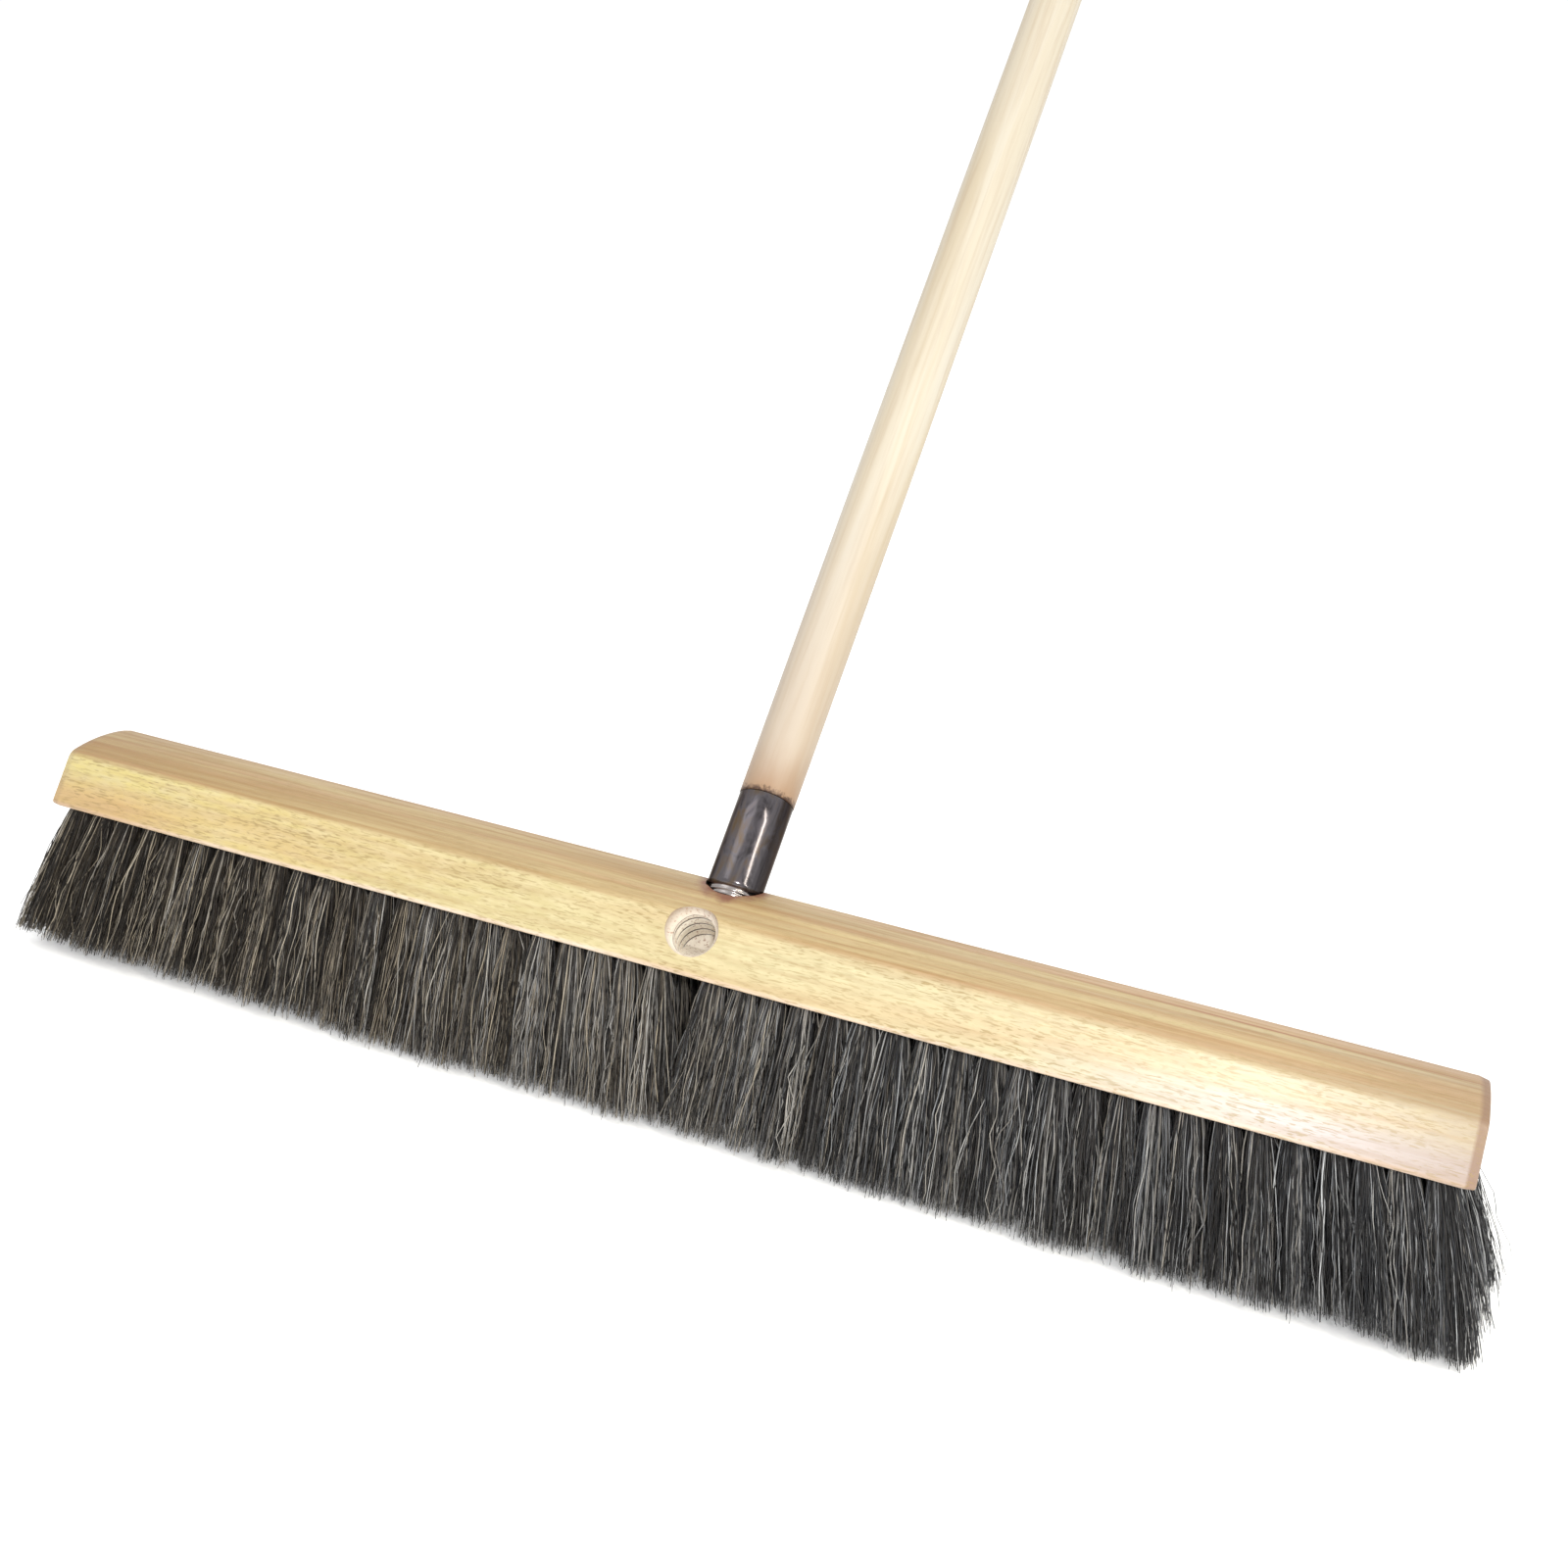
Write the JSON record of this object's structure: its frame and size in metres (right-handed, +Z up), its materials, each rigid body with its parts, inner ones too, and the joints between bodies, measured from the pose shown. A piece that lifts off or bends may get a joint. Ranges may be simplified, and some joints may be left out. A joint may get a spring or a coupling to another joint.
{
  "type": "push broom",
  "caption": "Wide push broom: crowned hardwood block with rows of stiff dark bristle, two slanted handle holes, and a round wood handle screwed in by a threaded steel ferrule.",
  "frame": {"origin": "Middle of the sweeping face, the flat plane of the bristle tips, under the middle of the block.", "axes": "+Z up, away from the sweeping face. +X along the block to its right end. -Y is the front with the empty handle hole; the handle leans up and back towards +Y."},
  "size_m": [0.6474, 1.0637, 1.2152],
  "materials": {
    "block_wood": "clear lacquered pale hardwood with fine dark pores",
    "handle_wood": "smooth sanded pale wood, scorched brown just above the ferrule",
    "ferrule_steel": "dark grey oiled sheet steel, smooth",
    "nail_steel": "plain bright steel",
    "bristle_fibre": "dark brown-grey stiff fibre with lighter strands mixed in"
  },
  "bodies": {
    "head": {"block": "block_wood", "bristle_row1_left_bank1": "bristle_fibre", "bristle_row1_left_bank2": "bristle_fibre", "bristle_row1_left_bank3": "bristle_fibre", "bristle_row1_left_bank4": "bristle_fibre", "bristle_row1_left_bank5": "bristle_fibre", "bristle_row1_right_bank1": "bristle_fibre", "bristle_row1_right_bank2": "bristle_fibre", "bristle_row1_right_bank3": "bristle_fibre", "bristle_row1_right_bank4": "bristle_fibre", "bristle_row1_right_bank5": "bristle_fibre", "bristle_row2_left_bank1": "bristle_fibre", "bristle_row2_left_bank2": "bristle_fibre", "bristle_row2_left_bank3": "bristle_fibre", "bristle_row2_left_bank4": "bristle_fibre", "bristle_row2_left_bank5": "bristle_fibre", "bristle_row2_right_bank1": "bristle_fibre", "bristle_row2_right_bank2": "bristle_fibre", "bristle_row2_right_bank3": "bristle_fibre", "bristle_row2_right_bank4": "bristle_fibre", "bristle_row2_right_bank5": "bristle_fibre", "bristle_row3_left_bank1": "bristle_fibre", "bristle_row3_left_bank2": "bristle_fibre", "bristle_row3_left_bank3": "bristle_fibre", "bristle_row3_left_bank4": "bristle_fibre", "bristle_row3_left_bank5": "bristle_fibre", "bristle_row3_right_bank1": "bristle_fibre", "bristle_row3_right_bank2": "bristle_fibre", "bristle_row3_right_bank3": "bristle_fibre", "bristle_row3_right_bank4": "bristle_fibre", "bristle_row3_right_bank5": "bristle_fibre", "bristle_row4_left_bank1": "bristle_fibre", "bristle_row4_left_bank2": "bristle_fibre", "bristle_row4_left_bank3": "bristle_fibre", "bristle_row4_left_bank4": "bristle_fibre", "bristle_row4_left_bank5": "bristle_fibre", "bristle_row4_right_bank1": "bristle_fibre", "bristle_row4_right_bank2": "bristle_fibre", "bristle_row4_right_bank3": "bristle_fibre", "bristle_row4_right_bank4": "bristle_fibre", "bristle_row4_right_bank5": "bristle_fibre", "bristle_row5_left_bank1": "bristle_fibre", "bristle_row5_left_bank2": "bristle_fibre", "bristle_row5_left_bank3": "bristle_fibre", "bristle_row5_left_bank4": "bristle_fibre", "bristle_row5_left_bank5": "bristle_fibre", "bristle_row5_right_bank1": "bristle_fibre", "bristle_row5_right_bank2": "bristle_fibre", "bristle_row5_right_bank3": "bristle_fibre", "bristle_row5_right_bank4": "bristle_fibre", "bristle_row5_right_bank5": "bristle_fibre"},
    "handle": {"handle": "handle_wood", "threaded_ferrule": "ferrule_steel", "ferrule_nail": "nail_steel"}
  },
  "joints": [
    {"name": "handle_unscrew", "type": "slide", "parent": "head", "child": "handle", "axis": [0, 0.6691, 0.7431], "range_m": [0, 0.03]}
  ]
}
